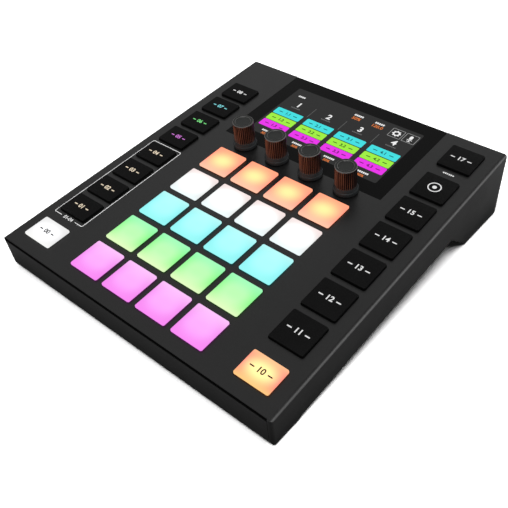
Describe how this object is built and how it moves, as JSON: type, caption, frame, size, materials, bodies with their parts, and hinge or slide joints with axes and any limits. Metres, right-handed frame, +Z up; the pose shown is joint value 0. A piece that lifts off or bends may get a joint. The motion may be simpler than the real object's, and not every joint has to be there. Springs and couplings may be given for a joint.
{
  "type": "lighting control desk",
  "caption": "Sloping sheet-metal lighting control desk with lit pads, side key columns, push encoders and a display; it rests on rubber feet.",
  "frame": {"origin": "centre of the bounding box on the plane that the feet rest on", "axes": "+X to the user's right, +Y from the front edge to the rear, +Z up"},
  "size_m": [0.2244, 0.2605, 0.0647],
  "materials": {
    "powder_coat": "fine matte powder coat",
    "black_rubber": "matte",
    "display_glass": "gloss",
    "module_metal": "satin",
    "circuit_board": "solder mask",
    "brass": "turned",
    "switch_plastic": "matte",
    "socket_plastic": "satin",
    "screw_steel": "zinc plated",
    "key_black": "matte, fine texture",
    "knob_black": "matte, ribbed",
    "pad_white": "translucent, lit",
    "pad_orange": "translucent, lit",
    "pad_cyan": "translucent, lit",
    "pad_green": "translucent, lit",
    "pad_pink": "translucent, lit"
  },
  "bodies": {
    "case": {"top_cover": "powder_coat", "base_tray": "powder_coat", "front_strip": "black_rubber", "display_glass": "display_glass", "display_module": "module_metal", "main_board": "circuit_board", "board_standoffs": "brass", "key_switches": "switch_plastic", "encoder_bodies": "module_metal", "dmx_shells": "socket_plastic", "dmx_inserts": "switch_plastic", "usb_socket": "module_metal", "power_socket": "socket_plastic", "rubber_feet": "black_rubber", "case_screws": "screw_steel"},
    "pad_r1c1": {"pad_r1c1": "pad_pink"},
    "pad_r1c2": {"pad_r1c2": "pad_pink"},
    "pad_r1c3": {"pad_r1c3": "pad_pink"},
    "pad_r1c4": {"pad_r1c4": "pad_pink"},
    "pad_r2c1": {"pad_r2c1": "pad_green"},
    "pad_r2c2": {"pad_r2c2": "pad_green"},
    "pad_r2c3": {"pad_r2c3": "pad_green"},
    "pad_r2c4": {"pad_r2c4": "pad_green"},
    "pad_r3c1": {"pad_r3c1": "pad_cyan"},
    "pad_r3c2": {"pad_r3c2": "pad_cyan"},
    "pad_r3c3": {"pad_r3c3": "pad_cyan"},
    "pad_r3c4": {"pad_r3c4": "pad_cyan"},
    "pad_r4c1": {"pad_r4c1": "pad_white"},
    "pad_r4c2": {"pad_r4c2": "pad_white"},
    "pad_r4c3": {"pad_r4c3": "pad_white"},
    "pad_r4c4": {"pad_r4c4": "pad_white"},
    "pad_r5c1": {"pad_r5c1": "pad_orange"},
    "pad_r5c2": {"pad_r5c2": "pad_orange"},
    "pad_r5c3": {"pad_r5c3": "pad_orange"},
    "pad_r5c4": {"pad_r5c4": "pad_orange"},
    "left_key_1": {"left_key_1": "key_black"},
    "left_key_2": {"left_key_2": "key_black"},
    "left_key_3": {"left_key_3": "key_black"},
    "left_key_4": {"left_key_4": "key_black"},
    "left_key_5": {"left_key_5": "key_black"},
    "left_key_6": {"left_key_6": "key_black"},
    "left_key_7": {"left_key_7": "key_black"},
    "left_key_8": {"left_key_8": "key_black"},
    "right_key_1": {"right_key_1": "key_black"},
    "right_key_2": {"right_key_2": "key_black"},
    "right_key_3": {"right_key_3": "key_black"},
    "right_key_4": {"right_key_4": "key_black"},
    "right_key_5": {"right_key_5": "key_black"},
    "right_key_6": {"right_key_6": "key_black"},
    "left_lit_key": {"left_lit_key": "pad_white"},
    "right_lit_key": {"right_lit_key": "pad_orange"},
    "tap_key": {"tap_key": "key_black"},
    "encoder_rotor_1": {"encoder_rotor_1": "switch_plastic"},
    "knob_1": {"knob_1": "knob_black"},
    "encoder_rotor_2": {"encoder_rotor_2": "switch_plastic"},
    "knob_2": {"knob_2": "knob_black"},
    "encoder_rotor_3": {"encoder_rotor_3": "switch_plastic"},
    "knob_3": {"knob_3": "knob_black"},
    "encoder_rotor_4": {"encoder_rotor_4": "switch_plastic"},
    "knob_4": {"knob_4": "knob_black"}
  },
  "joints": [
    {"name": "pad_r1c1_press", "type": "slide", "parent": "case", "child": "pad_r1c1", "axis": [0, 0.1123, -0.9937], "range_m": [0, 0.0012], "stiffness_N_per_m": 400},
    {"name": "pad_r1c2_press", "type": "slide", "parent": "case", "child": "pad_r1c2", "axis": [0, 0.1123, -0.9937], "range_m": [0, 0.0012], "stiffness_N_per_m": 400},
    {"name": "pad_r1c3_press", "type": "slide", "parent": "case", "child": "pad_r1c3", "axis": [0, 0.1123, -0.9937], "range_m": [0, 0.0012], "stiffness_N_per_m": 400},
    {"name": "pad_r1c4_press", "type": "slide", "parent": "case", "child": "pad_r1c4", "axis": [0, 0.1123, -0.9937], "range_m": [0, 0.0012], "stiffness_N_per_m": 400},
    {"name": "pad_r2c1_press", "type": "slide", "parent": "case", "child": "pad_r2c1", "axis": [0, 0.1123, -0.9937], "range_m": [0, 0.0012], "stiffness_N_per_m": 400},
    {"name": "pad_r2c2_press", "type": "slide", "parent": "case", "child": "pad_r2c2", "axis": [0, 0.1123, -0.9937], "range_m": [0, 0.0012], "stiffness_N_per_m": 400},
    {"name": "pad_r2c3_press", "type": "slide", "parent": "case", "child": "pad_r2c3", "axis": [0, 0.1123, -0.9937], "range_m": [0, 0.0012], "stiffness_N_per_m": 400},
    {"name": "pad_r2c4_press", "type": "slide", "parent": "case", "child": "pad_r2c4", "axis": [0, 0.1123, -0.9937], "range_m": [0, 0.0012], "stiffness_N_per_m": 400},
    {"name": "pad_r3c1_press", "type": "slide", "parent": "case", "child": "pad_r3c1", "axis": [0, 0.1123, -0.9937], "range_m": [0, 0.0012], "stiffness_N_per_m": 400},
    {"name": "pad_r3c2_press", "type": "slide", "parent": "case", "child": "pad_r3c2", "axis": [0, 0.1123, -0.9937], "range_m": [0, 0.0012], "stiffness_N_per_m": 400},
    {"name": "pad_r3c3_press", "type": "slide", "parent": "case", "child": "pad_r3c3", "axis": [0, 0.1123, -0.9937], "range_m": [0, 0.0012], "stiffness_N_per_m": 400},
    {"name": "pad_r3c4_press", "type": "slide", "parent": "case", "child": "pad_r3c4", "axis": [0, 0.1123, -0.9937], "range_m": [0, 0.0012], "stiffness_N_per_m": 400},
    {"name": "pad_r4c1_press", "type": "slide", "parent": "case", "child": "pad_r4c1", "axis": [0, 0.1123, -0.9937], "range_m": [0, 0.0012], "stiffness_N_per_m": 400},
    {"name": "pad_r4c2_press", "type": "slide", "parent": "case", "child": "pad_r4c2", "axis": [0, 0.1123, -0.9937], "range_m": [0, 0.0012], "stiffness_N_per_m": 400},
    {"name": "pad_r4c3_press", "type": "slide", "parent": "case", "child": "pad_r4c3", "axis": [0, 0.1123, -0.9937], "range_m": [0, 0.0012], "stiffness_N_per_m": 400},
    {"name": "pad_r4c4_press", "type": "slide", "parent": "case", "child": "pad_r4c4", "axis": [0, 0.1123, -0.9937], "range_m": [0, 0.0012], "stiffness_N_per_m": 400},
    {"name": "pad_r5c1_press", "type": "slide", "parent": "case", "child": "pad_r5c1", "axis": [0, 0.1123, -0.9937], "range_m": [0, 0.0012], "stiffness_N_per_m": 400},
    {"name": "pad_r5c2_press", "type": "slide", "parent": "case", "child": "pad_r5c2", "axis": [0, 0.1123, -0.9937], "range_m": [0, 0.0012], "stiffness_N_per_m": 400},
    {"name": "pad_r5c3_press", "type": "slide", "parent": "case", "child": "pad_r5c3", "axis": [0, 0.1123, -0.9937], "range_m": [0, 0.0012], "stiffness_N_per_m": 400},
    {"name": "pad_r5c4_press", "type": "slide", "parent": "case", "child": "pad_r5c4", "axis": [0, 0.1123, -0.9937], "range_m": [0, 0.0012], "stiffness_N_per_m": 400},
    {"name": "left_key_1_press", "type": "slide", "parent": "case", "child": "left_key_1", "axis": [0, 0.1123, -0.9937], "range_m": [0, 0.0012], "stiffness_N_per_m": 400},
    {"name": "left_key_2_press", "type": "slide", "parent": "case", "child": "left_key_2", "axis": [0, 0.1123, -0.9937], "range_m": [0, 0.0012], "stiffness_N_per_m": 400},
    {"name": "left_key_3_press", "type": "slide", "parent": "case", "child": "left_key_3", "axis": [0, 0.1123, -0.9937], "range_m": [0, 0.0012], "stiffness_N_per_m": 400},
    {"name": "left_key_4_press", "type": "slide", "parent": "case", "child": "left_key_4", "axis": [0, 0.1123, -0.9937], "range_m": [0, 0.0012], "stiffness_N_per_m": 400},
    {"name": "left_key_5_press", "type": "slide", "parent": "case", "child": "left_key_5", "axis": [0, 0.1123, -0.9937], "range_m": [0, 0.0012], "stiffness_N_per_m": 400},
    {"name": "left_key_6_press", "type": "slide", "parent": "case", "child": "left_key_6", "axis": [0, 0.1123, -0.9937], "range_m": [0, 0.0012], "stiffness_N_per_m": 400},
    {"name": "left_key_7_press", "type": "slide", "parent": "case", "child": "left_key_7", "axis": [0, 0.1123, -0.9937], "range_m": [0, 0.0012], "stiffness_N_per_m": 400},
    {"name": "left_key_8_press", "type": "slide", "parent": "case", "child": "left_key_8", "axis": [0, 0.1123, -0.9937], "range_m": [0, 0.0012], "stiffness_N_per_m": 400},
    {"name": "right_key_1_press", "type": "slide", "parent": "case", "child": "right_key_1", "axis": [0, 0.1123, -0.9937], "range_m": [0, 0.0012], "stiffness_N_per_m": 400},
    {"name": "right_key_2_press", "type": "slide", "parent": "case", "child": "right_key_2", "axis": [0, 0.1123, -0.9937], "range_m": [0, 0.0012], "stiffness_N_per_m": 400},
    {"name": "right_key_3_press", "type": "slide", "parent": "case", "child": "right_key_3", "axis": [0, 0.1123, -0.9937], "range_m": [0, 0.0012], "stiffness_N_per_m": 400},
    {"name": "right_key_4_press", "type": "slide", "parent": "case", "child": "right_key_4", "axis": [0, 0.1123, -0.9937], "range_m": [0, 0.0012], "stiffness_N_per_m": 400},
    {"name": "right_key_5_press", "type": "slide", "parent": "case", "child": "right_key_5", "axis": [0, 0.1123, -0.9937], "range_m": [0, 0.0012], "stiffness_N_per_m": 400},
    {"name": "right_key_6_press", "type": "slide", "parent": "case", "child": "right_key_6", "axis": [0, 0.1123, -0.9937], "range_m": [0, 0.0012], "stiffness_N_per_m": 400},
    {"name": "left_lit_key_press", "type": "slide", "parent": "case", "child": "left_lit_key", "axis": [0, 0.1123, -0.9937], "range_m": [0, 0.0012], "stiffness_N_per_m": 400},
    {"name": "right_lit_key_press", "type": "slide", "parent": "case", "child": "right_lit_key", "axis": [0, 0.1123, -0.9937], "range_m": [0, 0.0012], "stiffness_N_per_m": 400},
    {"name": "tap_key_press", "type": "slide", "parent": "case", "child": "tap_key", "axis": [0, 0.1123, -0.9937], "range_m": [0, 0.0012], "stiffness_N_per_m": 400},
    {"name": "encoder_1_turn", "type": "hinge", "parent": "case", "child": "encoder_rotor_1", "pos_m": [-0.0435, 0.03161, 0.04316], "axis": [0, -0.1123, 0.9937], "continuous": true},
    {"name": "encoder_1_push", "type": "slide", "parent": "encoder_rotor_1", "child": "knob_1", "axis": [0, 0.1123, -0.9937], "range_m": [0, 0.0006], "stiffness_N_per_m": 900},
    {"name": "encoder_2_turn", "type": "hinge", "parent": "case", "child": "encoder_rotor_2", "pos_m": [-0.0145, 0.03161, 0.04316], "axis": [0, -0.1123, 0.9937], "continuous": true},
    {"name": "encoder_2_push", "type": "slide", "parent": "encoder_rotor_2", "child": "knob_2", "axis": [0, 0.1123, -0.9937], "range_m": [0, 0.0006], "stiffness_N_per_m": 900},
    {"name": "encoder_3_turn", "type": "hinge", "parent": "case", "child": "encoder_rotor_3", "pos_m": [0.0145, 0.03161, 0.04316], "axis": [0, -0.1123, 0.9937], "continuous": true},
    {"name": "encoder_3_push", "type": "slide", "parent": "encoder_rotor_3", "child": "knob_3", "axis": [0, 0.1123, -0.9937], "range_m": [0, 0.0006], "stiffness_N_per_m": 900},
    {"name": "encoder_4_turn", "type": "hinge", "parent": "case", "child": "encoder_rotor_4", "pos_m": [0.0435, 0.03161, 0.04316], "axis": [0, -0.1123, 0.9937], "continuous": true},
    {"name": "encoder_4_push", "type": "slide", "parent": "encoder_rotor_4", "child": "knob_4", "axis": [0, 0.1123, -0.9937], "range_m": [0, 0.0006], "stiffness_N_per_m": 900}
  ]
}
